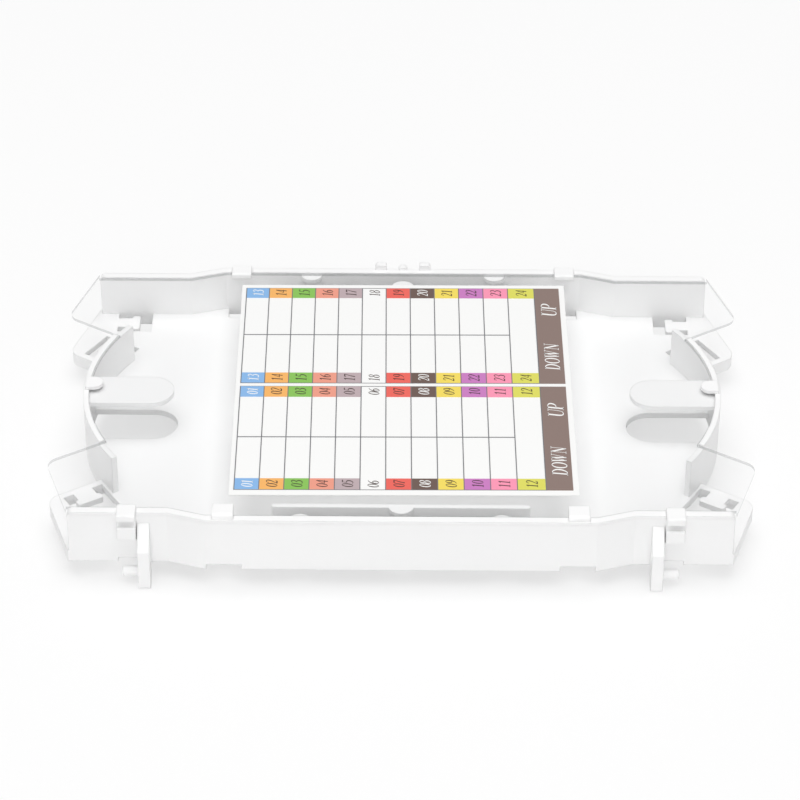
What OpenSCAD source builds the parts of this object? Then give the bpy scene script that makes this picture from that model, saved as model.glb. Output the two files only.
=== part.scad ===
// Fibre splice tray for 24 splices. One white moulding carries the fibre, a thin clear
// cover snaps in under its hooks, a numbered label lies on the cover, and two clip-in
// holders grip the splice sleeves under the label. Pins and open sockets on the front
// wall hinge each tray to the next one of a stack.
// Millimetres. +X runs along the tray, +Y to its back wall, +Z up. The origin is under
// the middle of the tray, level with the lowest point of the hinge arms.

/* [Tray outline] */
// Length of the front and back walls
wall_len = 167; // [160:0.5:190]
// Width over the bulged middle of the two walls
mid_width = 114.4; // [112:0.2:124]
// Distance that the middle bulges out past the wall ends
bulge = 3; // [1.5:0.1:4]
// Length of the bulged middle
mid_len = 98; // [96:0.5:104]
// Length of each slanted run between the middle and an end
bend_run = 9.5; // [6:0.5:11]
// Height of the walls above the lower edge of the rim
wall_h = 15.5; // [15:0.1:22]
// Thickness of the front and back walls
wall_t = 2; // [1.6:0.1:2.4]
// Thickness of the floor
floor_t = 1.6; // [1.2:0.1:2.2]
// Height of the floor's upper face above the lower edge of the rim
floor_rise = 3.4; // [3.2:0.1:4.5]
// Thickness of the rim below the floor
rim_t = 1.5; // [1.2:0.1:2.4]
// Distance that the bead along the top of the walls stands proud
bead = 0.15; // [0.1:0.05:0.3]
// Height of that bead
bead_h = 0.8; // [0.5:0.1:1.5]
// Rounding of the walls' upper end corners
end_round = 1.4; // [0.8:0.1:2.5]

/* [Side walls and wings] */
// Outer radius of the curved side walls
side_r = 53; // [51:0.5:56]
// Thickness of the curved side walls
side_t = 1.5; // [1.2:0.1:2.2]
// Distance that the side walls stand out past the wall ends
side_proud = 0.2; // [0:0.1:1]
// Half of the angle that a side wall spans
side_half_angle = 34.7; // [33:0.1:36]
// Angle at which the wings' near edges leave the side wall
wing_angle = 27.5; // [27:0.1:27.8]
// Angle at which the wings' sharp tips lie, seen from the side wall's centre
wing_tip_angle = 28.7; // [28.2:0.1:29]
// Distance of the wings' sharp tips from the side wall's centre
wing_reach = 68.7; // [67:0.1:72]
// Distance that a wing starts outside the wall end
wing_step = 0.4; // [0.2:0.1:1]
// Rounding of the wing tips
wing_round = 4; // [2:0.1:5]

/* [Cover] */
// Thickness of the clear cover
cover_t = 0.8; // [0.6:0.1:1.2]
// Depth of the cover's face below the wall tops
cover_drop = 0.1; // [0.1:0.1:0.5]
// Gap between the cover's edge and the walls
cover_gap = 0.3; // [0.2:0.1:0.6]
// Clearance between the cover and what lies over or under it
cover_clear = 0.1; // [0.05:0.05:0.3]

/* [Fibre tabs and ribs] */
// Thickness of the tabs and tongues that keep the fibre down
tab_t = 1.2; // [1:0.1:1.6]
// Radius of the half-round tabs on the walls
wall_tab_r = 3; // [2.4:0.1:3.4]
// Distance of the wall tabs from the middle
wall_tab_x = 25.2; // [18:0.2:30]
// Depth of the wall tabs' centres behind the wall's inner face
wall_tab_sink = 0.8; // [0.4:0.1:1]
// Width of the fibre channel between a rib and its wall
channel_w = 4.9; // [4.4:0.1:5]
// Thickness of the inner ribs
rib_t = 1.5; // [1.2:0.1:1.8]
// Length of the inner ribs
rib_len = 65; // [55:0.5:70]
// Radius of the half-round tab in the middle of each rib
rib_tab_r = 3.2; // [2.6:0.1:3.6]
// Width of the long tongues at the sides
tongue_w = 12; // [10:0.2:14]
// Distance of the tongues' tips from the middle of the tray
tongue_tip = 59.9; // [56:0.1:64]
// Gap round a tab at the floor hole that forms it
shut_gap = 0.5; // [0.3:0.1:0.8]

/* [Cover hooks] */
// Width of a hook
hook_w = 5.3; // [4:0.1:6]
// Distance of the hooks' centres from the middle
hook_x = 44.45; // [43.5:0.05:45]
// Thickness of a hook above the walls
hook_t = 1.4; // [1:0.1:2]
// Distance that a hook reaches in over the wall's inner face
hook_reach = 3.2; // [2:0.1:3.6]
// Set-back of a hook from the wall's outer face
hook_set = 0.3; // [0.2:0.1:0.6]
// Rounding of a hook's outer edge
hook_round = 0.8; // [0.4:0.1:1]
// Gap round a hook at the floor hole that forms it
hook_gap = 1.2; // [0.6:0.1:1.3]
// Gap round a hook of the tray below, at the notch in the rim
notch_gap = 1.8; // [1:0.1:1.8]
// Radius of the small hold-down tab on each side wall
side_tab_r = 2.4; // [2:0.1:3]
// Distance of that tab from the middle of the side wall
side_tab_y = 0.9; // [0:0.1:2]
// Thickness of that tab
side_tab_t = 0.9; // [0.7:0.1:1.2]
// Set-back of that tab from the side wall's outer face
side_tab_set = 0.5; // [0.2:0.1:0.8]

/* [Stacking hinge] */
// Radius of a hinge pin
pin_r = 1.35; // [1.1:0.05:1.4]
// Length of a hinge pin
pin_len = 4.2; // [3:0.1:4.4]
// Chamfer at the end of a pin
pin_chamfer = 0.3; // [0.2:0.1:0.5]
// Radial clearance of a pin in a socket
pin_clear = 0.15; // [0.1:0.05:0.25]
// Distance of the pin and socket axes in front of the wall
pin_out = 1.5; // [1.4:0.1:1.8]
// Depth of the socket axis below the wall tops
socket_drop = 1.7; // [1.2:0.1:1.8]
// Height of the socket's top above its axis
socket_top = 2.7; // [2.6:0.1:3.4]
// Depth of the lower lip below the axis
socket_low = 4.6; // [3.4:0.1:5]
// Depth at which the socket's underside runs into the wall
socket_root = 6.8; // [5.4:0.1:7.4]
// Width of a socket
socket_w = 4.7; // [4.2:0.1:5.4]
// Height of the socket's mouth
mouth_h = 1.7; // [1.6:0.1:1.8]
// Depth of the funnel that leads into the mouth over the lower lip
funnel_h = 0.8; // [0.4:0.1:0.8]
// Distance of the hinge arms' inner faces from the middle
arm_x = 62.9; // [60:0.1:65]
// Thickness of a hinge arm
arm_w = 3; // [2.4:0.1:3.4]
// Distance of an arm's front face before the pin's axis
arm_front = 3.3; // [3:0.1:3.8]
// Depth of an arm's lower end below the pin's axis
arm_low = 3.6; // [3:0.1:4]
// Rounding of an arm's lower front edge
arm_round = 1.2; // [0.6:0.1:1.6]
// Depth at which an arm starts below the wall tops
arm_start = 3.4; // [3:0.1:4.4]
// Depth of the elbow below the wall tops, where an arm's front edge turns straight down
arm_elbow = 9.3; // [8:0.1:11]
// Sideways gap between an arm and a socket
hinge_gap = 0.3; // [0.2:0.1:0.6]
// Gap between two stacked trays
stack_gap = 0.1; // [0.05:0.05:0.3]
// Clearance round a feature of the next tray
stack_clear = 0.3; // [0.2:0.1:0.5]

/* [Back catch] */
// Distance that the catch stands out behind the back wall
catch_t = 1.4; // [1:0.1:2]
// Height of the catch cheeks above the wall top
catch_rise = 1.4; // [1:0.1:2]
// Distance between the inner faces of the two cheeks
catch_gap = 9; // [7:0.1:11]
// Width of a cheek
catch_w = 3.2; // [2.4:0.1:4]
// Depth of the catch below the wall top
catch_depth = 7; // [5:0.1:9]
// Radius of the knob between the cheeks
knob_r = 1.3; // [1:0.1:1.8]
// Height of the knob above the wall top
knob_rise = 0.7; // [0.4:0.1:1]

/* [Cable tie anchors] */
// Width of the anchor windows at the fibre ports
port_w = 11.1; // [10:0.1:11.6]
// Length of those windows
port_l = 10.1; // [9:0.1:10.6]
// Angle of those windows
port_angle = 32; // [30:0.5:34]
// Distance of those windows outside the side wall
port_out = 0.7; // [0.6:0.1:1]
// Distance of their near ends before the radius through the middle of the port
port_back = 2.1; // [1.8:0.1:2.4]
// Width of the neck of their T tongues
port_neck = 5.4; // [4.6:0.1:5.8]
// Width of the head of their T tongues
port_head = 7.2; // [6.4:0.1:7.6]
// Length of their T tongues
port_tongue = 4.9; // [4.4:0.1:5.4]
// Width of the anchor windows at the wall ends
corner_w = 8.6; // [8:0.1:9]
// Length of those windows
corner_l = 9.3; // [8.6:0.1:9.8]
// Distance of those windows from the wall ends
corner_x = 4.8; // [4.4:0.1:5.6]
// Width of the neck of their T tongues
corner_neck = 4.2; // [3.8:0.1:4.6]
// Width of the head of their T tongues
corner_head = 6.4; // [5.8:0.1:6.8]
// Length of their T tongues
corner_tongue = 6; // [5.4:0.1:6.4]
// Length of a T tongue's head
head_l = 2.2; // [1.8:0.1:2.6]
// Rounding of a T tongue's head
head_round = 0.7; // [0.4:0.1:0.9]

/* [Label] */
// Number of fibre columns
columns = 12; // [12:12]
// Width of the first column
col_w = 6.25; // [6:0.05:6.5]
// Amount that each column is wider than the one before it
col_grow = 0.05; // [0:0.01:0.06]
// Extra width of the last column
col_extra = 0.45; // [0:0.05:0.8]
// Width of the caption column
caption_w = 6.8; // [5:0.1:7]
// Depth of a row of numbers
row_d = 4.9; // [4:0.1:6]
// Depth of a writing cell
cell_d = 17.7; // [16:0.05:18]
// Space between the front and the back block of cells
block_gap = 1.4; // [1:0.1:3]
// White margins: left, right, front and back
margin = [1.25, 1.45, 2.1, 1.65];
// Offset of the label from the middle of the tray
label_shift = [0.4, 1.3];
// Angle at which the label was stuck on
label_turn = 0.4; // [-0.5:0.1:0.5]
// Thickness of the label
label_t = 0.15; // [0.1:0.05:0.3]
// Thickness of the printed fields
ink_t = 0.1; // [0.05:0.05:0.1]
// Width of the printed lines
line_w = 0.25; // [0.2:0.05:0.5]

/* [Splice holders] */
// Distance from one sleeve slot to the next
slot_pitch = 6.54; // [6.3:0.01:6.6]
// Depth of a holder along the sleeves
holder_d = 25; // [24:0.5:26]
// Distance that a holder sits behind the middle of its block of cells
holder_back = 3.9; // [3:0.1:5]
// Thickness of a holder's base
holder_t = 1.2; // [1:0.1:1.6]
// Width of the end plates of a holder
holder_end = 1.5; // [1:0.1:2]
// Length of the fingers along the sleeves
finger_l = 5; // [4:0.5:5.5]
// Height of the fingers above the base
finger_h = 7.4; // [6:0.1:8.5]
// Clear width of a sleeve slot
slot_w = 3.4; // [3:0.1:3.6]
// Thickness of a spring finger
finger_t = 1; // [0.8:0.1:1.2]
// Distance that the bead of a finger narrows the slot
finger_bead = 0.35; // [0.2:0.05:0.5]
// Radius of the clip pegs under a holder
peg_r = 1.5; // [1.2:0.1:2]
// Clearance of the pegs in the floor
peg_clear = 0.2; // [0.1:0.05:0.3]
// Distance of the pegs from the holder's edges
peg_in = 4; // [3.5:0.5:6]
// Height of the barb on a peg
barb_h = 0.5; // [0.4:0.1:0.6]

/* [Hidden] */
$fn = 64;

// Overlap of joined shapes, and the amount that a cut runs past a face
eps = 0.5;

// Tray outline
half_len = wall_len / 2;
mid_y = mid_width / 2;
end_y = mid_y - bulge;
mid_in = mid_y - wall_t;
end_in = end_y - wall_t;
bend_in = mid_len / 2;
bend_out = bend_in + bend_run;
side_x = half_len + side_proud - side_r;
side_in = side_r - side_t;
field_reach = side_x + side_in * cos(side_half_angle);
floor_bottom = floor_rise - floor_t;

// Heights of the cover and of what lies under and over it
cover_z = wall_h - cover_drop - cover_t;
tab_top = cover_z - cover_clear;
label_z = cover_z + cover_t;
ink_z = label_z + label_t;

// Hinge, with the pins one stack pitch below the sockets
socket_z = wall_h - socket_drop;
pin_z = socket_z - wall_h - stack_gap;
arm_reach = pin_out + arm_front;
arm_tip = pin_z - arm_low;
// Slope of an arm's upper edge, which the heel of the next arm above follows
arm_slope = (arm_elbow - arm_start) / (arm_reach - stack_clear);
heel_z = stack_clear - stack_gap - arm_start;
heel = [stack_clear + (heel_z - arm_tip) / arm_slope, arm_tip];
socket_x = arm_x + arm_w + hinge_gap;
bore_r = pin_r + pin_clear;

// The tray's own frame, seen from the part's origin
base_z = -arm_tip;
base_y = (end_y + arm_reach - mid_y - catch_t) / 2;

// Wing outline, counterclockwise, with its sharp tip as the second point
wing_tip = [side_x, 0] + wing_reach * [cos(wing_tip_angle), sin(wing_tip_angle)];
wing_root = [side_x, 0] + side_in * [cos(wing_angle), sin(wing_angle)];
wing = [wing_root, wing_tip, [half_len + wing_step, end_y], [bend_out, end_y],
        [bend_out, wing_root.y]];

// Left edge of a column, seen from the edge of the first one
function col_x(i) = i * col_w + i * (i - 1) / 2 * col_grow + (i < columns ? 0 : col_extra);

// Label layout
block_d = 2 * (row_d + cell_d);
cells_w = col_x(columns);
label_w = margin[0] + cells_w + caption_w + margin[1];
label_d = margin[2] + 2 * block_d + block_gap + margin[3];
block_y = [margin[2], margin[2] + block_d + block_gap];

// Splice holders, one under each block of cells
holder_w = columns * slot_pitch + 2 * holder_end;
holder_x0 = label_shift.x - label_w / 2 + margin[0] + (cells_w - holder_w) / 2;
holder_y = [for (y = block_y) label_shift.y - label_d / 2 + y + (block_d - holder_d) / 2 + holder_back];
pegs = [for (x = [peg_in, holder_w - peg_in], y = [peg_in, holder_d - peg_in]) [x, y]];

TRAY_WHITE = "#f3f4f4";
CLEAR = [0.93, 0.96, 0.98, 0.3];
PAPER = "#fdfdfc";

// Unit vector along v
function unit(v) = v / norm(v);

// Left-hand normal of the edge from a to b, which points into a counterclockwise outline
function inward(a, b) = let (u = unit(b - a)) [-u.y, u.x];

// A counterclockwise outline moved inwards by d
function inset(pts, d) = let (n = len(pts)) [
    for (i = [0 : n - 1])
        let (before = inward(pts[(i + n - 1) % n], pts[i]),
             after = inward(pts[i], pts[(i + 1) % n]))
        pts[i] + d * (before + after) / (1 + before * after)
];

// The points of corner b of the outline a-b-c, rounded to radius r
function corner(a, b, c, r, steps = 10) =
    let (to_a = unit(a - b),
         to_c = unit(c - b),
         half = acos(to_a * to_c) / 2,
         centre = b + unit(to_a + to_c) * r / sin(half),
         from = b + to_a * r / tan(half) - centre,
         to = b + to_c * r / tan(half) - centre,
         start = atan2(from.y, from.x),
         turn = (atan2(to.y, to.x) - start + 540) % 360 - 180)
    [for (k = [0 : steps]) centre + r * [cos(start + turn * k / steps), sin(start + turn * k / steps)]];

// A wing grown (or shrunk, below zero) by a distance, with its tip rounded
function wing_outline(grow) =
    let (w = inset(wing, -grow), n = len(w))
    concat([w[0]], corner(w[0], w[1], w[2], wing_round + grow), [for (i = [2 : n - 1]) w[i]]);

// Outline of the space between two walls whose faces lie at mid and end, cut off at reach
function field(mid, end, reach) = [
    [-reach, -end], [-bend_out, -end], [-bend_in, -mid],
    [bend_in, -mid], [bend_out, -end], [reach, -end],
    [reach, end], [bend_out, end], [bend_in, mid],
    [-bend_in, mid], [-bend_out, end], [-reach, end]
];

// Draws the children in the tray's own frame, whose origin lies in the plane of the rim's lower edge
module in_tray() translate([0, base_y, base_z]) children();

// Draws the children on the right and mirrored on the left
module both_sides() {
    children();
    mirror([1, 0, 0]) children();
}

// Draws the children at the back and mirrored at the front
module both_walls() {
    children();
    mirror([0, 1, 0]) children();
}

// An upright plate: a profile of outward distance from the wall and height, width w along X
module front_profile(x, w) {
    translate([x, -end_y, 0])
        rotate([90, 0, -90])
            mirror([0, 0, 1])
                linear_extrude(w)
                    children();
}

// ---- outline of the tray and the cover -------------------------------------

// The area inside a side wall's arc of radius r
module side_lens(r) {
    reach = 2 * r;
    translate([side_x, 0])
        intersection() {
            circle(r, $fn = 180);
            polygon([[-1, 0], reach * [cos(side_half_angle), -sin(side_half_angle)],
                     reach * [cos(side_half_angle), sin(side_half_angle)]]);
        }
}

// The whole footprint, moved inwards by a distance
module footprint(shrink = 0) {
    polygon(field(mid_y - shrink, end_y - shrink, field_reach));
    both_sides() {
        side_lens(side_r - shrink);
        both_walls() polygon(wing_outline(-shrink));
    }
}

// ---- tray base --------------------------------------------------------------

// A T-shaped tongue in a window: the window's near edge is on the X axis, centred on x = 0
module tie_window(w, l, neck, head, tongue) {
    head_foot = tongue - head_l;
    difference() {
        translate([-w / 2, 0]) square([w, l]);
        translate([-neck / 2, -eps]) square([neck, tongue - head_round + eps]);
        polygon(concat(
            corner([-head / 2, tongue], [-head / 2, head_foot], [0, head_foot], head_round),
            corner([0, head_foot], [head / 2, head_foot], [head / 2, tongue], head_round),
            corner([head / 2, head_foot], [head / 2, tongue], [0, tongue], head_round),
            corner([0, tongue], [-head / 2, tongue], [-head / 2, head_foot], head_round)));
    }
}

// The two tie windows of the corner at the back right
module corner_windows() {
    translate([side_x, 0])
        rotate(port_angle)
            translate([side_r + port_out + port_w / 2, -port_back])
                tie_window(port_w, port_l, port_neck, port_head, port_tongue);
    translate([half_len - corner_x, end_in - corner_w / 2])
        rotate(90)
            tie_window(corner_w, corner_l, corner_neck, corner_head, corner_tongue);
}

// Plan of a long tongue, grown by a distance, running on past the side wall
module tongue_plan(grow = 0) {
    r = tongue_w / 2 + grow;
    centre = tongue_tip + tongue_w / 2;
    translate([centre, 0]) circle(r);
    translate([centre, -r]) square([half_len - centre, 2 * r]);
}

// The holes in the floor that the mould needs under each tab, tongue and hook. They run on under
// the walls, which are added later.
module shut_offs() {
    both_sides() {
        intersection() {
            tongue_plan(shut_gap);
            side_lens(side_in + side_t / 2);
        }
        both_walls() {
            translate([hook_x - hook_w / 2 - hook_gap, mid_in - hook_reach - hook_gap])
                square([hook_w + 2 * hook_gap, hook_reach + hook_gap + wall_t / 2]);
            intersection() {
                translate([wall_tab_x, mid_in + wall_tab_sink]) circle(wall_tab_r + shut_gap);
                translate([0, mid_in - channel_w]) square([half_len, channel_w + wall_t / 2]);
            }
        }
    }
    both_walls()
        intersection() {
            translate([0, rib_y]) circle(rib_tab_r + shut_gap);
            translate([-rib_len / 2, rib_y]) square([rib_len, channel_w]);
        }
}

// Middle of the back inner rib
rib_y = mid_in - channel_w - rib_t / 2;

// The floor, with its windows, and the rim that hangs below it
module floor_and_rim() {
    difference() {
        linear_extrude(floor_rise) footprint();
        translate([0, 0, -eps]) linear_extrude(floor_bottom + eps) footprint(rim_t);
        translate([0, 0, floor_bottom - eps])
            linear_extrude(floor_t + 2 * eps) {
                shut_offs();
                both_sides() both_walls() corner_windows();
            }
        for (y = holder_y, p = pegs)
            translate([holder_x0 + p.x, y + p.y, floor_bottom - eps])
                cylinder(r = peg_r + peg_clear, h = floor_t + 2 * eps);
    }
}

// The front and back walls with their bead, before the notches are cut
module long_walls() {
    difference() {
        union() {
            linear_extrude(wall_h) polygon(field(mid_y, end_y, half_len));
            translate([0, 0, wall_h - bead_h])
                linear_extrude(bead_h) polygon(field(mid_y + bead, end_y + bead, half_len));
        }
        translate([0, 0, -eps])
            linear_extrude(wall_h + 2 * eps) polygon(field(mid_in, end_in, half_len + eps));
        both_sides()
            translate([half_len - end_round, 0, wall_h - end_round])
                rotate([90, 0, 0])
                    difference() {
                        translate([0, 0, -mid_y]) cube([end_round + eps, end_round + eps, mid_width]);
                        translate([0, 0, -mid_y - eps]) cylinder(r = end_round, h = mid_width + 2 * eps);
                    }
    }
}

// The notches in the lower edge that clear the hooks, side tabs and sockets of the tray below
module rim_notches() {
    notch_h = hook_t - stack_gap + 0.2;
    side_notch_h = side_tab_t - stack_gap + stack_clear;
    socket_notch_h = socket_top - socket_drop - stack_gap + stack_clear;
    both_sides() {
        both_walls()
            translate([hook_x - hook_w / 2 - notch_gap, mid_in - eps, -eps])
                cube([hook_w + 2 * notch_gap, wall_t + 2 * eps, notch_h + eps]);
        translate([side_x + side_in - side_tab_r * 2, side_tab_y - side_tab_r - stack_clear, -eps])
            cube([side_tab_r * 3, 2 * (side_tab_r + stack_clear), side_notch_h + eps]);
        translate([arm_x + arm_w, -end_y - eps, -eps])
            cube([socket_w + hinge_gap + stack_clear, wall_t + 2 * eps, socket_notch_h + eps]);
    }
}

// A curved side wall, lowered at both ends where the cover's wings pass over it
module side_wall() {
    difference() {
        linear_extrude(wall_h)
            difference() {
                side_lens(side_r);
                translate([side_x, 0]) circle(side_in, $fn = 180);
            }
        both_walls()
            translate([0, 0, tab_top])
                linear_extrude(wall_h) polygon(inset(wing, 0));
    }
}

// The hold-down tab on a side wall, which reaches in over the cover's edge
module side_tab() {
    centre = side_x + side_in - side_tab_r / 2;
    translate([0, side_tab_y, wall_h])
        intersection() {
            union() {
                translate([centre, 0, 0]) cylinder(r = side_tab_r, h = side_tab_t);
                translate([centre, -side_tab_r, 0]) cube([2 * side_tab_r, 2 * side_tab_r, side_tab_t]);
            }
            translate([side_x, -side_tab_y, 0])
                cylinder(r = side_r - side_tab_set, h = side_tab_t, $fn = 180);
        }
}

// A half-round tab of radius r, whose flat side faces +Y
module half_disc(r, h) {
    intersection() {
        cylinder(r = r, h = h);
        translate([-r, -r, 0]) cube([2 * r, r, h]);
    }
}

// The half-round tabs at the tops of the walls
module wall_tabs() {
    both_sides()
        both_walls()
            translate([wall_tab_x, mid_in + wall_tab_sink, tab_top - tab_t])
                half_disc(wall_tab_r, tab_t);
}

// The inner ribs with the half-round tab in the middle of each
module inner_ribs() {
    both_walls()
        translate([0, rib_y, floor_bottom]) {
            rib_h = tab_top - floor_bottom;
            translate([-rib_len / 2 + rib_t / 2, -rib_t / 2, 0])
                cube([rib_len - rib_t, rib_t, rib_h]);
            both_sides()
                translate([(rib_len - rib_t) / 2, 0, 0]) cylinder(d = rib_t, h = rib_h);
            translate([0, 0, rib_h - tab_t]) rotate(180) half_disc(rib_tab_r, tab_t);
        }
}

// The long tongues that keep the stored loops of fibre down
module tongues() {
    both_sides()
        translate([0, 0, tab_top - tab_t])
            linear_extrude(tab_t)
                intersection() {
                    tongue_plan();
                    side_lens(side_in + side_t / 2);
                }
}

// The hooks that hold the cover down at the long walls
module hooks() {
    inner = mid_in - hook_reach;
    outer = mid_y - hook_set;
    top = wall_h + hook_t;
    both_sides()
        both_walls()
            translate([hook_x - hook_w / 2, 0, 0])
                rotate([90, 0, 90])
                    linear_extrude(hook_w)
                        polygon(concat(
                            [[inner, wall_h], [mid_in, wall_h], [mid_in, wall_h - eps],
                             [outer, wall_h - eps]],
                            corner([outer, wall_h], [outer, top], [inner, top], hook_round),
                            corner([outer, top], [inner, top], [inner, wall_h], hook_round / 2)));
}

// An open socket: a block on the front wall, bored along X, with a mouth that snaps over a pin
module socket() {
    lip = pin_out + bore_r;
    difference() {
        front_profile(socket_x, socket_w)
            union() {
                polygon(concat(
                    [[-wall_t / 2, socket_z - socket_root], [0, socket_z - socket_root]],
                    corner([0, socket_z - socket_root], [lip, socket_z - socket_low],
                           [lip, socket_z + socket_top], bore_r / 2),
                    corner([lip, socket_z], [lip, socket_z + socket_top],
                           [0, socket_z + socket_top], pin_chamfer),
                    [[-wall_t / 2, socket_z + socket_top]]));
                translate([-wall_t, wall_h - eps]) square([wall_t, socket_top - socket_drop + eps]);
            }
        translate([socket_x - eps, -end_y - pin_out, socket_z])
            rotate([0, 90, 0])
                cylinder(r = bore_r, h = socket_w + 2 * eps);
        translate([socket_x - eps, -end_y - lip - eps, socket_z - mouth_h / 2])
            cube([socket_w + 2 * eps, lip - pin_out + eps, mouth_h]);
        front_profile(socket_x - eps, socket_w + 2 * eps)
            polygon([[lip - bore_r / 2, socket_z], [lip - bore_r / 2, socket_z - mouth_h / 2],
                     [lip + eps, socket_z - mouth_h / 2 - funnel_h * (1 + 2 * eps / bore_r)],
                     [lip + eps, socket_z]]);
    }
}

// A hinge arm that hangs from the front wall, with its pin
module arm() {
    front_profile(arm_x, arm_w)
        polygon(concat(
            [[-eps, 0], [stack_clear, 0], [stack_clear, heel_z], heel],
            corner(heel, [arm_reach, arm_tip], [arm_reach, wall_h - arm_elbow], arm_round),
            [[arm_reach, wall_h - arm_elbow], [stack_clear, wall_h - arm_start],
             [-eps, wall_h - arm_start]]));
    translate([arm_x + arm_w, -end_y - pin_out, pin_z])
        rotate([0, 90, 0]) {
            translate([0, 0, -eps]) cylinder(r = pin_r - pin_chamfer, h = 2 * eps);
            cylinder(r = pin_r, h = pin_len - pin_chamfer);
            translate([0, 0, pin_len - pin_chamfer])
                cylinder(r1 = pin_r, r2 = pin_r - pin_chamfer, h = pin_chamfer);
        }
}

// The catch behind the back wall: two cheeks with a knob between them
module back_catch() {
    cheek = [[0, wall_h - catch_depth], [catch_w, wall_h - catch_depth],
             [catch_w, wall_h + catch_rise], [0, wall_h + catch_rise]];
    translate([0, mid_y + catch_t, 0])
        rotate([90, 0, 0])
            linear_extrude(catch_t + eps) {
                both_sides()
                    translate([catch_gap / 2, 0])
                        polygon(concat([cheek[0], cheek[1]],
                                       corner(cheek[1], cheek[2], cheek[3], catch_w / 3),
                                       corner(cheek[2], cheek[3], cheek[0], catch_w / 6)));
                translate([0, wall_h + knob_rise - knob_r]) circle(knob_r);
                translate([-knob_r, wall_h - catch_depth])
                    square([2 * knob_r, catch_depth + knob_rise - knob_r]);
            }
}

module tray_base() {
    color(TRAY_WHITE)
        in_tray() {
            difference() {
                union() {
                    floor_and_rim();
                    long_walls();
                    both_sides() side_wall();
                }
                rim_notches();
            }
            wall_tabs();
            inner_ribs();
            tongues();
            hooks();
            both_sides() {
                side_tab();
                socket();
                arm();
            }
            back_catch();
        }
}

// ---- cover ------------------------------------------------------------------

// Plan of the cover: the space between the walls, the arcs and the four wings
module cover_plan() {
    polygon(field(mid_in - cover_gap, end_in - cover_gap, field_reach));
    both_sides() {
        side_lens(side_in - cover_gap);
        both_walls()
            difference() {
                polygon(wing_outline(-cover_gap));
                translate([0, end_in - cover_gap]) square([half_len + cover_gap, wall_len]);
            }
    }
}

module cover() {
    color(CLEAR)
        in_tray()
            translate([0, 0, cover_z])
                linear_extrude(cover_t) cover_plan();
}

// ---- label ------------------------------------------------------------------

// Draws the children in the label's frame, from its front left corner, at a height
module on_label(z) {
    in_tray()
        translate([label_shift.x, label_shift.y, z])
            rotate(label_turn)
                translate([-label_w / 2, -label_d / 2, 0])
                    children();
}

module label() {
    color(PAPER)
        on_label(label_z)
            cube([label_w, label_d, label_t]);
}

// The four number fields of a column, in the front and the back block
module number_fields(column) {
    on_label(ink_z)
        for (block = block_y, y = [0, block_d - row_d])
            translate([margin[0] + col_x(column) + line_w / 2, block + y + line_w / 2, 0])
                cube([col_x(column + 1) - col_x(column) - line_w, row_d - line_w, ink_t]);
}

module print_blue() color("#8fbce6") number_fields(0);
module print_orange() color("#fbbe6e") number_fields(1);
module print_green() color("#9fca6a") number_fields(2);
module print_salmon() color("#eea288") number_fields(3);
module print_mauve() color("#c9b2b8") number_fields(4);
module print_red() color("#d8675f") number_fields(6);
module print_brown() color("#5b4644") number_fields(7);
module print_yellow() color("#d9c768") number_fields(8);
module print_violet() color("#a884b4") number_fields(9);
module print_pink() color("#e2a3a8") number_fields(10);
module print_lime() color("#c3cf86") number_fields(11);

// The dark caption column at the right of each block
module print_captions() {
    color("#7d4a42")
        on_label(ink_z)
            for (block = block_y)
                translate([margin[0] + cells_w + line_w / 2, block, 0])
                    cube([caption_w - line_w / 2, block_d, ink_t]);
}

// The lines between the columns, round the blocks and across the writing cells
module print_lines() {
    color("#6f6f73")
        on_label(ink_z)
            for (block = block_y)
                translate([margin[0], block, 0])
                    linear_extrude(ink_t) {
                        for (i = [0 : columns])
                            translate([col_x(i) - line_w / 2, 0]) square([line_w, block_d]);
                        for (y = [0, block_d])
                            translate([0, max(0, y - line_w / 2)])
                                square([cells_w, line_w / 2]);
                        translate([0, (block_d - line_w) / 2])
                            square([col_x(columns - 1), line_w]);
                    }
}

// ---- splice holders -----------------------------------------------------------

// Profile of a spring finger that bulges to its left, standing on the X axis at x = 0
module finger_profile() {
    polygon(concat(
        [[0, 0], [finger_t, 0], [finger_t, finger_h - finger_t]],
        corner([finger_t, 0], [finger_t, finger_h], [0, finger_h], finger_t / 2),
        corner([finger_t, finger_h], [0, finger_h], [-finger_bead, finger_h - finger_t], finger_t / 3),
        [[-finger_bead, finger_h - finger_t], [0, finger_h - 2 * finger_t]]));
}

// One holder, from its lower left corner, with a pair of spring fingers at each side of a slot
module splice_holder() {
    finger_x = (slot_pitch - slot_w) / 2;
    rail = peg_in + peg_r + 1;
    difference() {
        cube([holder_w, holder_d, holder_t]);
        translate([rail, 2 * finger_l, -eps])
            cube([holder_w - 2 * rail, holder_d - 4 * finger_l, holder_t + 2 * eps]);
    }
    for (y = [finger_l / 2, holder_d - finger_l * 1.5], i = [0 : columns - 1])
        translate([holder_end + i * slot_pitch, y + finger_l, holder_t - eps])
            rotate([90, 0, 0])
                linear_extrude(finger_l) {
                    translate([finger_x, eps]) mirror([1, 0]) finger_profile();
                    translate([finger_x - finger_t, 0]) square([finger_t, eps]);
                    translate([slot_pitch - finger_x, eps]) finger_profile();
                    translate([slot_pitch - finger_x, 0]) square([finger_t, eps]);
                }
    for (p = pegs)
        translate([p.x, p.y, 0])
            mirror([0, 0, 1]) {
                cylinder(r = peg_r, h = floor_t + cover_clear);
                translate([0, 0, floor_t + cover_clear])
                    cylinder(r1 = peg_r + 2 * peg_clear, r2 = peg_r - peg_clear, h = barb_h);
            }
}

module splice_holder_front() {
    color(TRAY_WHITE)
        in_tray()
            translate([holder_x0, holder_y[0], floor_rise]) splice_holder();
}

module splice_holder_back() {
    color(TRAY_WHITE)
        in_tray()
            translate([holder_x0, holder_y[1], floor_rise]) splice_holder();
}

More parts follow.
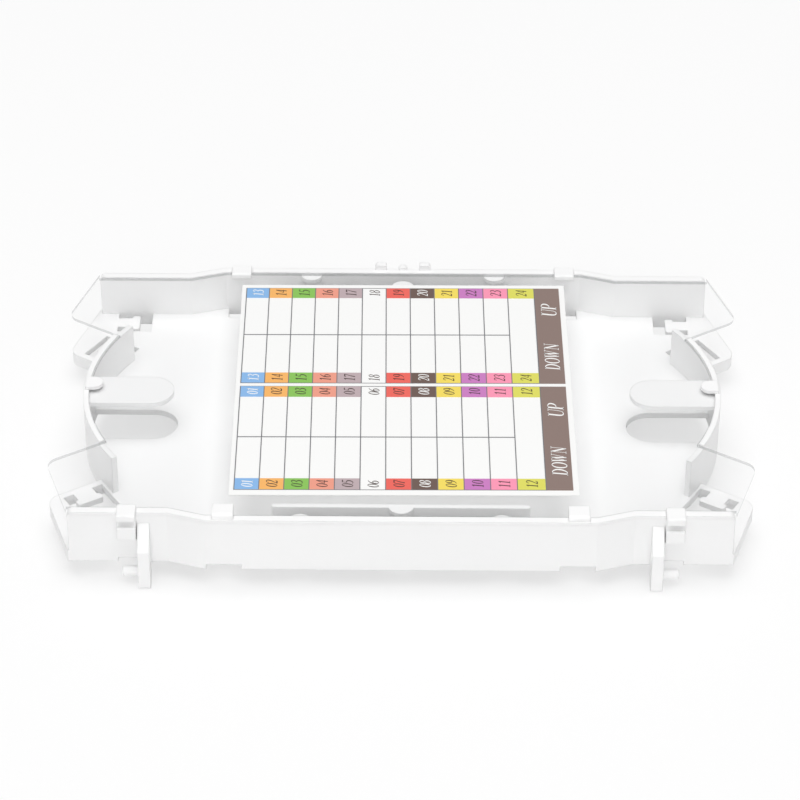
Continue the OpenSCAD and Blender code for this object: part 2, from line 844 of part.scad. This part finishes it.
tray_base();
splice_holder_front();
splice_holder_back();
cover();
label();
print_blue();
print_orange();
print_green();
print_salmon();
print_mauve();
print_red();
print_brown();
print_yellow();
print_violet();
print_pink();
print_lime();
print_captions();
print_lines();
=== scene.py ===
# %% [markdown]
# # A fibre splice tray, dressed and lit
# The real object is a flat white tray of moulded ABS. Loops of optical fibre lie in it,
# a thin clear sheet snaps over them, and a printed label on that sheet numbers the
# splices underneath. The moulding, the cover and the coloured fields are solids of the
# CAD frame. What is added here is what a printer and a mould maker add: the numbers and
# words on the label, and the look of every surface.

import math

import bpy
from mathutils import Matrix, Vector


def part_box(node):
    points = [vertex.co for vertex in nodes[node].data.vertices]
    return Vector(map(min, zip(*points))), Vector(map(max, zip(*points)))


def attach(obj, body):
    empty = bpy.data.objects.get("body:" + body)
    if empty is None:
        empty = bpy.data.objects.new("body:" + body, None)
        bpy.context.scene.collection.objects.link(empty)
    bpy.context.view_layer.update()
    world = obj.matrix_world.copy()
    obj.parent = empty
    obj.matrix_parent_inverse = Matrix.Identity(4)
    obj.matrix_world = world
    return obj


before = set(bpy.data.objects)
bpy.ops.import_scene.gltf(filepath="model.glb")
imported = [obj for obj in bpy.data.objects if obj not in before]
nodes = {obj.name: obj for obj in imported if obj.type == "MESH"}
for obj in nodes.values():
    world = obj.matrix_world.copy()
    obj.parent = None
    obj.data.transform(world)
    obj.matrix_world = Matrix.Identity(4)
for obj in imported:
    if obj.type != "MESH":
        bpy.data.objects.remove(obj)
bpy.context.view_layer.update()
bpy.ops.object.select_all(action="DESELECT")
print("solids in the frame:", len(nodes))

# %% [markdown]
# ## The camera
# A product picture of a flat tray is taken with a long lens from a little over half a
# metre up, so that both the label and the front wall show. A long lens keeps the side
# edges nearly parallel. The camera is turned in three steps, each one a small matrix:
# a turn about the upright axis, a tilt down, and a slight roll about its own axis.

# %% Make the camera
bpy.ops.object.camera_add(location=(0.000958, -0.6995, 0.516276))
camera = bpy.context.object
camera.name = "studio_camera"
turn = Matrix.Rotation(math.radians(0.1199), 4, "Z")
tilt = Matrix.Rotation(math.radians(90 - 35.5), 4, "X")
roll = Matrix.Rotation(math.radians(0.3029), 4, "Z")
camera.matrix_world = Matrix.Translation(camera.location) @ turn @ tilt @ roll
camera.data.lens = 146.75
camera.data.sensor_width = 36
camera.data.clip_start = 0.01
bpy.context.scene.camera = camera
print("camera height in m:", round(camera.matrix_world.translation.z, 3))

# %% [markdown]
# ## Colours and nodes
# Colours are picked as sRGB hex values, which is what a colour card or a screen gives.
# Cycles calculates with linear light, so one function turns them over. A second small
# function adds a node, sets its sockets and links it, so that each material below reads
# like a recipe.

# %% Helpers for materials
def colour(code):
    """The linear colour, with alpha 1, of an sRGB hex code."""
    parts = [int(code[i:i + 2], 16) / 255 for i in (1, 3, 5)]
    linear = [c / 12.92 if c <= 0.04045 else ((c + 0.055) / 1.055) ** 2.4 for c in parts]
    return (*linear, 1.0)


def add_node(tree, kind, sockets=None, links=None, **settings):
    """Adds a node, sets its properties and sockets, and links outputs into its sockets."""
    node = tree.nodes.new(kind)
    for name, value in settings.items():
        setattr(node, name, value)
    for name, value in (sockets or {}).items():
        node.inputs[name].default_value = value
    for name, output in (links or {}).items():
        tree.links.new(output, node.inputs[name])
    return node


def new_material(name):
    """An empty node material, and its tree."""
    material = bpy.data.materials.new(name)
    material.use_nodes = True
    material.node_tree.nodes.clear()
    return material, material.node_tree


def dress(names, material):
    """Gives CAD nodes a material in their only slot."""
    for name in names:
        nodes[name].data.materials.clear()
        nodes[name].data.materials.append(material)
    print(material.name, "on", ", ".join(names))


def per_mm(size_mm):
    """The Scale of a noise texture on Object coordinates whose features are that wide."""
    return 1000 / size_mm


print("mid grey in linear light:", round(colour("#808080")[0], 3))

# %% [markdown]
# ## White moulded ABS
# The tray is ABS from a mould that was spark eroded, which leaves a fine, even grain and
# a soft satin shine. ABS is never a pure white: it is a little grey and slightly
# uneven where the melt flowed. The grain is made by a noise of 0.35 mm, a little
# coarser than the real one so that it shows at all, and the flow marks by a noise of
# 30 mm stretched along the tray. A mould can't have perfectly sharp edges either, so
# a Bevel node rounds the shading over 0.4 mm at every edge.

# %% Make the moulded plastics
FLOW_MM = 30
EDGE_ROUNDING_M = 0.0004


def moulded_plastic(name, hex_light, hex_dark, roughness, grain_mm, grain_height):
    material, tree = new_material(name)
    place = add_node(tree, "ShaderNodeTexCoord").outputs["Object"]
    stretched = add_node(tree, "ShaderNodeMapping", {"Scale": (0.5, 1.0, 1.0)}, {"Vector": place})
    flow = add_node(tree, "ShaderNodeTexNoise",
                    {"Scale": per_mm(FLOW_MM), "Detail": 3.0, "Roughness": 0.5},
                    {"Vector": stretched.outputs["Vector"]})
    grain = add_node(tree, "ShaderNodeTexNoise", {"Scale": per_mm(grain_mm), "Detail": 2.0},
                     {"Vector": place})
    # The colour sockets of a Mix node come after its number and vector sockets
    tint = add_node(tree, "ShaderNodeMix", {6: colour(hex_light), 7: colour(hex_dark)},
                    {"Factor": flow.outputs["Fac"]}, data_type="RGBA")
    shine = add_node(tree, "ShaderNodeMapRange",
                     {"To Min": roughness - 0.04, "To Max": roughness + 0.04},
                     {"Value": flow.outputs["Fac"]})
    edge = add_node(tree, "ShaderNodeBevel", {"Radius": EDGE_ROUNDING_M}, samples=4)
    bump = add_node(tree, "ShaderNodeBump", {"Strength": 0.5, "Distance": grain_height},
                    {"Height": grain.outputs["Fac"], "Normal": edge.outputs["Normal"]})
    shader = add_node(tree, "ShaderNodeBsdfPrincipled", {"IOR": 1.52},
                      {"Base Color": tint.outputs[2], "Roughness": shine.outputs["Result"],
                       "Normal": bump.outputs["Normal"]})
    add_node(tree, "ShaderNodeOutputMaterial", None, {"Surface": shader.outputs["BSDF"]})
    return material


tray_abs = moulded_plastic("white_moulded_abs", "#FCFCFC", "#F9F9F9", roughness=0.4,
                           grain_mm=0.35, grain_height=0.00001)
holder_abs = moulded_plastic("white_glossy_abs", "#FBFBFB", "#F8F8F8", roughness=0.3,
                             grain_mm=0.6, grain_height=0.000005)
dress(["tray_base"], tray_abs)
dress(["splice_holder_front", "splice_holder_back"], holder_abs)

# %% [markdown]
# ## The clear cover
# The cover is PET sheet, 0.8 mm thick and die cut. Seen from above, such a sheet is
# almost not there, but its cut edges are: light that enters the sheet leaves there, or
# doesn't, and the edge reads as a thin grey-blue line. Real refraction through a sheet
# this thin is slow to render and gains little, so the sheet is a glossy surface that is
# mostly transparent on its faces and far less so where the surface stands upright.
# There its colour is also a darker grey: painted shade that stands in for that edge line.

# %% Make the clear cover
ALPHA_UPRIGHT, ALPHA_FLAT = 0.34, 0.05
WAVE_MM = 25


def clear_sheet():
    material, tree = new_material("clear_pet_sheet")
    place = add_node(tree, "ShaderNodeTexCoord").outputs["Object"]
    normal = add_node(tree, "ShaderNodeNewGeometry").outputs["Normal"]
    upward = add_node(tree, "ShaderNodeSeparateXYZ", None, {"Vector": normal}).outputs["Z"]
    flatness = add_node(tree, "ShaderNodeMath", None, {0: upward}, operation="ABSOLUTE")
    flat = flatness.outputs["Value"]
    alpha = add_node(tree, "ShaderNodeMapRange", {"To Min": ALPHA_UPRIGHT, "To Max": ALPHA_FLAT},
                     {"Value": flat})
    tint = add_node(tree, "ShaderNodeMix", None, {"Factor": flat}, data_type="RGBA")
    # Upright faces, the cut edges, get the darker grey: painted shade for the edge line
    tint.inputs[6].default_value = colour("#96999B")
    tint.inputs[7].default_value = colour("#D9DBDC")
    # The sheet was rolled, which leaves waves a few centimetres long and barely any height
    waves = add_node(tree, "ShaderNodeTexNoise", {"Scale": per_mm(WAVE_MM), "Detail": 1.0},
                     {"Vector": place})
    bump = add_node(tree, "ShaderNodeBump", {"Strength": 0.3, "Distance": 0.0001},
                    {"Height": waves.outputs["Fac"]})
    shader = add_node(tree, "ShaderNodeBsdfPrincipled", {"IOR": 1.57, "Roughness": 0.06},
                      {"Base Color": tint.outputs[2], "Alpha": alpha.outputs["Result"],
                       "Normal": bump.outputs["Normal"]})
    add_node(tree, "ShaderNodeOutputMaterial", None, {"Surface": shader.outputs["BSDF"]})
    return material


dress(["cover"], clear_sheet())

# %% [markdown]
# ## Label film and printing inks
# The label is a matt white polyester film. Its fields are printed in flat spot colours,
# and a printed colour is never quite even: the ink lies a little thicker and thinner in
# a mottle of about half a millimetre. That mottle, and a shine a little higher than the
# film's, is what tells ink from coloured plastic.

# %% Make the label film and the inks
MOTTLE_MM = 0.6


def printed_ink(name, code, mottle=0.06, roughness=0.45):
    material, tree = new_material(name)
    place = add_node(tree, "ShaderNodeTexCoord").outputs["Object"]
    spots = add_node(tree, "ShaderNodeTexNoise", {"Scale": per_mm(MOTTLE_MM), "Detail": 3.0},
                     {"Vector": place})
    light = colour(code)
    dark = (*[c * (1 - mottle) for c in light[:3]], 1.0)
    tint = add_node(tree, "ShaderNodeMix", None, {"Factor": spots.outputs["Fac"]},
                    data_type="RGBA")
    tint.inputs[6].default_value = light
    tint.inputs[7].default_value = dark
    bump = add_node(tree, "ShaderNodeBump", {"Strength": 0.2, "Distance": 0.000005},
                    {"Height": spots.outputs["Fac"]})
    shader = add_node(tree, "ShaderNodeBsdfPrincipled", {"IOR": 1.5, "Roughness": roughness},
                      {"Base Color": tint.outputs[2], "Normal": bump.outputs["Normal"]})
    add_node(tree, "ShaderNodeOutputMaterial", None, {"Surface": shader.outputs["BSDF"]})
    return material


INKS = {
    "print_blue": "#8CBBEC", "print_orange": "#FBB968", "print_green": "#8CC65A",
    "print_salmon": "#F2A08A", "print_mauve": "#C1AEB2", "print_red": "#F2695E",
    "print_brown": "#6F5A52", "print_yellow": "#F8DF62", "print_violet": "#CE7FC4",
    "print_pink": "#FF9AB8", "print_lime": "#E2DF62", "print_captions": "#8E7A73",
    "print_lines": "#77777B",
}
for node_name, code in INKS.items():
    dress([node_name], printed_ink(node_name.replace("print_", "ink_"), code))
label_film = printed_ink("white_polyester_film", "#F9F9F8", 0.01, 0.55)
dress(["label"], label_film)
dark_ink = printed_ink("ink_digits_dark_brown", "#4A3A36", 0.1)

# %% [markdown]
# ## Drawing the figures as pen strokes
# The figures on the label are narrow, slanted and written with a broad pen: their
# curves swell and thin. Such a figure is a few strokes, and a stroke is a path with a
# width at each point. A stroke starts as a flat strip (a grid primitive one face wide),
# whose cross edges are moved onto a smooth path through the points. The strip is then
# given the thickness of printed ink with a Solidify modifier.

# %% The strokes of each figure, in cap heights: x, y, width
def ring(cx, cy, rx, ry, thick, thin):
    """A closed stroke round an ellipse, thick at its sides and thin at top and bottom."""
    points = []
    for k in range(12):
        a = math.tau * k / 12
        w = thin + (thick - thin) * abs(math.cos(a)) ** 1.5
        points.append((cx + rx * math.cos(a), cy + ry * math.sin(a), w))
    return points + points[:1]


FIGURES = {
    "0": [ring(0.27, 0.5, 0.2, 0.47, 0.12, 0.045)],
    "1": [[(0.27, 0.0, 0.12), (0.27, 1.0, 0.12)],
          [(0.09, 0.84, 0.04), (0.2, 0.9, 0.06), (0.29, 0.98, 0.06)],
          [(0.1, 0.02, 0.04), (0.44, 0.02, 0.04)]],
    "2": [[(0.07, 0.76, 0.07), (0.12, 0.93, 0.06), (0.27, 0.98, 0.06), (0.42, 0.88, 0.1),
           (0.42, 0.7, 0.12), (0.3, 0.42, 0.08), (0.05, 0.04, 0.05)],
          [(0.04, 0.05, 0.1), (0.4, 0.05, 0.1)], [(0.38, 0.05, 0.08), (0.46, 0.18, 0.03)]],
    "3": [[(0.08, 0.84, 0.06), (0.16, 0.96, 0.05), (0.3, 0.97, 0.06), (0.4, 0.84, 0.11),
           (0.35, 0.65, 0.08), (0.2, 0.55, 0.04)],
          [(0.2, 0.55, 0.04), (0.38, 0.46, 0.09), (0.43, 0.26, 0.12), (0.33, 0.06, 0.08),
           (0.15, 0.02, 0.05), (0.05, 0.1, 0.08)]],
    "4": [[(0.36, 0.98, 0.04), (0.03, 0.3, 0.05)], [(0.03, 0.3, 0.06), (0.48, 0.3, 0.06)],
          [(0.36, 1.0, 0.1), (0.36, 0.0, 0.1)]],
    "5": [[(0.46, 0.95, 0.09), (0.15, 0.95, 0.09)], [(0.17, 0.97, 0.04), (0.1, 0.58, 0.04)],
          [(0.1, 0.56, 0.04), (0.27, 0.6, 0.07), (0.42, 0.45, 0.12), (0.4, 0.2, 0.11),
           (0.24, 0.03, 0.05), (0.06, 0.08, 0.07)]],
    "6": [[(0.45, 0.96, 0.03), (0.25, 0.84, 0.07), (0.1, 0.58, 0.12), (0.08, 0.28, 0.12),
           (0.16, 0.05, 0.06), (0.3, 0.03, 0.05), (0.42, 0.2, 0.11), (0.41, 0.42, 0.11),
           (0.28, 0.56, 0.05), (0.12, 0.45, 0.04)]],
    "7": [[(0.06, 0.8, 0.03), (0.09, 0.94, 0.08)], [(0.07, 0.94, 0.1), (0.47, 0.94, 0.1)],
          [(0.45, 0.92, 0.05), (0.27, 0.45, 0.09), (0.17, 0.0, 0.12)]],
    "8": [ring(0.26, 0.76, 0.16, 0.21, 0.1, 0.04), ring(0.25, 0.28, 0.19, 0.26, 0.12, 0.045)],
}
FIGURES["9"] = [[(0.53 - x, 1 - y, w) for x, y, w in stroke] for stroke in FIGURES["6"]]
FIGURES["U"] = [[(0.15, 1.0, 0.13), (0.13, 0.34, 0.13), (0.2, 0.09, 0.08), (0.38, 0.03, 0.05),
                 (0.54, 0.12, 0.04), (0.6, 0.4, 0.04), (0.62, 1.0, 0.04)],
                [(0.0, 0.98, 0.04), (0.3, 0.98, 0.04)], [(0.5, 0.98, 0.04), (0.74, 0.98, 0.04)]]
FIGURES["P"] = [[(0.17, 0.0, 0.13), (0.17, 1.0, 0.13)], [(0.02, 0.02, 0.04), (0.33, 0.02, 0.04)],
                [(0.03, 0.98, 0.04), (0.17, 0.98, 0.04), (0.4, 0.97, 0.05), (0.56, 0.84, 0.11),
                 (0.54, 0.62, 0.11), (0.4, 0.48, 0.05), (0.2, 0.48, 0.04)]]
FIGURES["D"] = [[(0.17, 0.0, 0.13), (0.17, 1.0, 0.13)],
                [(0.03, 0.98, 0.04), (0.17, 0.98, 0.04), (0.42, 0.95, 0.07), (0.63, 0.7, 0.13),
                 (0.62, 0.35, 0.13), (0.43, 0.06, 0.07), (0.17, 0.02, 0.04), (0.02, 0.02, 0.04)]]
FIGURES["O"] = [ring(0.37, 0.5, 0.29, 0.48, 0.13, 0.045)]
FIGURES["W"] = [[(0.07, 1.0, 0.12), (0.22, 0.02, 0.12)], [(0.22, 0.02, 0.04), (0.44, 0.98, 0.04)],
                [(0.42, 1.0, 0.12), (0.57, 0.02, 0.12)], [(0.57, 0.02, 0.04), (0.82, 0.98, 0.04)],
                [(-0.05, 0.98, 0.04), (0.2, 0.98, 0.04)], [(0.3, 0.98, 0.04), (0.52, 0.98, 0.04)],
                [(0.72, 0.98, 0.04), (0.92, 0.98, 0.04)]]
FIGURES["N"] = [[(0.12, 0.0, 0.04), (0.12, 1.0, 0.04)], [(0.12, 0.98, 0.13), (0.62, 0.02, 0.13)],
                [(0.62, 0.0, 0.04), (0.62, 1.0, 0.04)], [(0.0, 0.02, 0.04), (0.24, 0.02, 0.04)],
                [(0.0, 0.98, 0.04), (0.14, 0.98, 0.04)], [(0.5, 0.98, 0.04), (0.74, 0.98, 0.04)]]
SLANT = 0.15
print("figures drawn:", "".join(FIGURES))

# %% Turn strokes into flat solids
def smooth_path(points, steps=5):
    """Points on a smooth curve through the given ones; two points give a straight line."""
    points = [Vector(p) for p in points]
    if len(points) == 2:
        return points
    closed = (points[0] - points[-1]).length < 1e-6
    if closed:
        knots = [points[-2], *points, points[1]]
    else:
        knots = [2 * points[0] - points[1], *points, 2 * points[-1] - points[-2]]
    path = []
    for a, b, c, d in zip(knots, knots[1:], knots[2:], knots[3:]):
        for k in range(steps):
            t = k / steps
            path.append(0.5 * (2 * b + (c - a) * t + (2 * a - 5 * b + 4 * c - d) * t * t
                               + (3 * b - a - 3 * c + d) * t ** 3))
    return path + [points[-1]]


def draw_stroke(points):
    """A strip one face wide along a path, as its own object, selected."""
    path = smooth_path(points)
    closed = (path[0] - path[-1]).length < 1e-6
    bpy.ops.mesh.primitive_grid_add(x_subdivisions=len(path) - 1, y_subdivisions=1, size=1)
    strip = bpy.context.object
    for i, here in enumerate(path):
        before = path[-2] if closed and i == 0 else path[max(i - 1, 0)]
        after = path[1] if closed and i == len(path) - 1 else path[min(i + 1, len(path) - 1)]
        along = (after - before).to_2d().normalized()
        across = Vector((-along.y, along.x)) * here.z / 2
        # A grid's vertices run row by row: the first row is the lower edge of the strip
        for row, side in ((0, -1), (1, 1)):
            x, y = here.to_2d() + side * across
            strip.data.vertices[i + row * len(path)].co = (x + SLANT * y, y, 0)
    if closed:
        bpy.ops.object.mode_set(mode="EDIT")
        bpy.ops.mesh.select_all(action="SELECT")
        bpy.ops.mesh.remove_doubles(threshold=1e-5)
        bpy.ops.object.mode_set(mode="OBJECT")
    return strip


def join(objects):
    """Joins objects into the first one and returns it."""
    bpy.ops.object.select_all(action="DESELECT")
    for o in objects:
        o.select_set(True)
    bpy.context.view_layer.objects.active = objects[0]
    if len(objects) > 1:
        bpy.ops.object.join()
    return bpy.context.object


def draw_figure(sign):
    """One figure, one cap height tall, as flat strips that all face up."""
    figure = join([draw_stroke(stroke) for stroke in FIGURES[sign]])
    figure.name = "pattern_" + sign
    return figure


patterns = {sign: draw_figure(sign) for sign in FIGURES}
print("faces in a figure 8:", len(patterns["8"].data.polygons))

# %% [markdown]
# ## Placing the numbers and words
# The label is read from its left side, so every figure is turned a quarter: it runs
# towards the back wall and its top points left. A label is stuck on by hand and never
# quite straight: this one is turned by 0.4 degrees. So places are given on the flat
# label, in millimetres from its front left corner, and one matrix carries them onto the
# tray. The middle of the label comes from its box in the frame. Its columns grow a
# little wider to the right, as they were typeset.

# %% Lay out the label
LABEL = (88.25, 95.55)
MARGIN_LEFT, MARGIN_FRONT = 1.25, 2.1
COLUMNS, COLUMN_W, COLUMN_GROW, LAST_EXTRA = 12, 6.25, 0.05, 0.45
BLOCK, ROW, BLOCK_GAP = 45.2, 4.9, 1.4
LABEL_TURN = math.radians(0.4)


def column_edge(i):
    """Where column i starts, in mm from the label's left edge."""
    extra = LAST_EXTRA if i == COLUMNS else 0
    return MARGIN_LEFT + i * COLUMN_W + COLUMN_GROW * i * (i - 1) / 2 + extra


label_low, label_high = (Vector(corner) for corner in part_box("label"))
film_top = label_high.z
ink_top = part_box("print_captions")[1][2]
middle = (label_low + label_high) / 2
on_label = (Matrix.Translation((middle.x, middle.y, 0)) @ Matrix.Rotation(LABEL_TURN, 4, "Z")
            @ Matrix.Diagonal((0.001, 0.001, 1, 1))
            @ Matrix.Translation((-LABEL[0] / 2, -LABEL[1] / 2, 0)))
block_fronts = [MARGIN_FRONT, MARGIN_FRONT + BLOCK + BLOCK_GAP]
print("middle of the label in mm:", [round(1000 * c, 2) for c in middle])

# %% Copy the figures onto the label
INK_HEIGHT = 0.00003


def write(text, x, y, z, height, places, stretch=1.0):
    """Copies of the figures of a text; its base line starts at x, y on the label."""
    copies = []
    for sign, place in zip(text, places):
        copy = patterns[sign].copy()
        copy.data = patterns[sign].data.copy()
        bpy.context.collection.objects.link(copy)
        # Figure right is the label's +Y, and figure up is its -X
        copy.matrix_world = on_label @ Matrix((
            (0, -height, 0, x),
            (height * stretch, 0, 0, y + place),
            (0, 0, 1, z),
            (0, 0, 0, 1)))
        copies.append(copy)
    return copies


def finish_print(objects, name, material):
    """Joins copied figures, gives them the thickness of ink, and puts them on the tray."""
    bpy.ops.object.select_all(action="DESELECT")
    for o in objects:
        o.select_set(True)
    bpy.context.view_layer.objects.active = objects[0]
    bpy.ops.object.transform_apply(location=True, rotation=True, scale=True)
    piece = join(objects)
    piece.name = piece.data.name = name
    solid = piece.modifiers.new("ink", "SOLIDIFY")
    solid.thickness = INK_HEIGHT
    solid.offset = 1
    bpy.ops.object.modifier_apply(modifier=solid.name)
    piece.data.materials.clear()
    piece.data.materials.append(material)
    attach(piece, "root")
    print(name, "has", len(piece.data.polygons), "faces")


WHITE_ON = ("print_blue", "print_brown")
FIELDS = ["print_blue", "print_orange", "print_green", "print_salmon", "print_mauve", "bare film",
          "print_red", "print_brown", "print_yellow", "print_violet", "print_pink", "print_lime"]
NUMBER_H, NUMBER_STEP, NUMBER_STRETCH = 2.9, 1.5, 0.95
# How far a number stands right of the middle of its column, and behind the front of its row
NUMBER_RIGHT, NUMBER_BACK = 0.1, 0.95
dark, white = [], []
for column, field in enumerate(FIELDS):
    left, right = column_edge(column), column_edge(column + 1)
    base = film_top if field == "bare film" else ink_top
    for block, front in enumerate(block_fronts):
        number = f"{column + 1 + COLUMNS * block:02d}"
        for row in (front, front + BLOCK - ROW):
            copies = write(number, (left + right) / 2 + NUMBER_RIGHT + NUMBER_H / 2,
                           row + NUMBER_BACK, base, NUMBER_H, (0, NUMBER_STEP), NUMBER_STRETCH)
            (white if field in WHITE_ON else dark).extend(copies)
print("numbers placed:", (len(dark) + len(white)) // 2)

# Base line, start in its block, cap height, where each letter starts, and stretch
WORDS = {"UP": (85.8, 31.5, 4.15, (0, 3.0), 1.05),
         "DOWN": (85.7, 6.1, 3.95, (0, 2.85, 5.7, 9.4), 0.9)}
words = []
for front in block_fronts:
    for word, (x, start, height, places, stretch) in WORDS.items():
        words += write(word, x, front + start, ink_top, height, places, stretch)

finish_print(dark, "numbers_dark", dark_ink)
finish_print(white, "numbers_white", label_film)
finish_print(words, "words_white", label_film)
for pattern in patterns.values():
    bpy.data.objects.remove(pattern)

# %% [markdown]
# ## The table and the light
# White goods on a white table are lit softly from above and, more weakly, from behind the
# camera, so that upright walls that face the lens stay bright and those that turn away
# fall off gently. The table is a diffuse white. In the eyes of the camera, and in gloss
# and clear plastic, most of its brightness is a glow of its own, so it looks white without
# lighting the tray.

# %% Make the table
GLOW_SHARE = 0.62

bpy.ops.mesh.primitive_plane_add(size=6, location=(0, 0, 0))
table = bpy.context.object
table.name = "white_table"
material, tree = new_material("white_card")
seen = add_node(tree, "ShaderNodeLightPath")
direct = add_node(tree, "ShaderNodeMath", None,
                  {0: seen.outputs["Is Camera Ray"], 1: seen.outputs["Is Glossy Ray"]},
                  operation="MAXIMUM")
direct = add_node(tree, "ShaderNodeMath", None,
                  {0: direct.outputs["Value"], 1: seen.outputs["Is Transmission Ray"]},
                  operation="MAXIMUM")
share = add_node(tree, "ShaderNodeMath", {1: GLOW_SHARE}, {0: direct.outputs["Value"]},
                 operation="MULTIPLY")
card = add_node(tree, "ShaderNodeBsdfDiffuse", {"Color": colour("#F7F7F7")})
glow = add_node(tree, "ShaderNodeEmission", {"Color": (1, 1, 1, 1), "Strength": 1.0})
both = add_node(tree, "ShaderNodeMixShader", None,
                {"Fac": share.outputs["Value"], 1: card.outputs["BSDF"],
                 2: glow.outputs["Emission"]})
add_node(tree, "ShaderNodeOutputMaterial", None, {"Surface": both.outputs["Shader"]})
table.data.materials.append(material)
print("table:", table.name)

# %% Make the lamps
def soft_box(name, place, aim, size, watts):
    """A square area lamp that points from a place at an aim."""
    bpy.ops.object.light_add(type="AREA", location=place)
    lamp = bpy.context.object
    lamp.name = name
    lamp.data.shape = "SQUARE"
    lamp.data.size = size
    lamp.data.energy = watts
    aimed = (Vector(aim) - Vector(place)).to_track_quat("-Z", "Y").to_matrix().to_4x4()
    lamp.matrix_world = Matrix.Translation(place) @ aimed


soft_box("overhead_softbox", (0, -0.15, 1.6), (0, 0, 0), 1.6, 21)
soft_box("front_softbox", (0, -1.9, 0.75), (0, 0, 0.01), 1.2, 8)

# A real label film lets part of the light through, and the white walls below pass it on many
# times, more often than is practical to render. A weak lamp as large as the label, close under
# the cover and aimed down, stands in for that light.
GLOW_UNDER_LABEL = 0.48
LAMP_GAP_M = 0.0003
under_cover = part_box("cover")[0][2] - LAMP_GAP_M
bpy.ops.object.light_add(type="AREA", location=(middle.x, middle.y, under_cover))
through_label = bpy.context.object
through_label.name = "light_through_label"
through_label.data.shape = "RECTANGLE"
through_label.data.size, through_label.data.size_y = (side / 1000 for side in LABEL)
# The power of an area lamp is its radiance times its area times pi
through_label.data.energy = GLOW_UNDER_LABEL * math.pi * LABEL[0] * LABEL[1] / 1e6

world = bpy.data.worlds.new("white_studio")
bpy.context.scene.world = world
world.use_nodes = True
world.node_tree.nodes.clear()
tree = world.node_tree
seen = add_node(tree, "ShaderNodeLightPath")
level = add_node(tree, "ShaderNodeMapRange", {"To Min": 0.35, "To Max": 1.0},
                 {"Value": seen.outputs["Is Camera Ray"]})
sky = add_node(tree, "ShaderNodeBackground", {"Color": (1, 1, 1, 1)},
               {"Strength": level.outputs["Result"]})
add_node(tree, "ShaderNodeOutputWorld", None, {"Surface": sky.outputs["Background"]})
bpy.context.scene.view_settings.view_transform = "Standard"
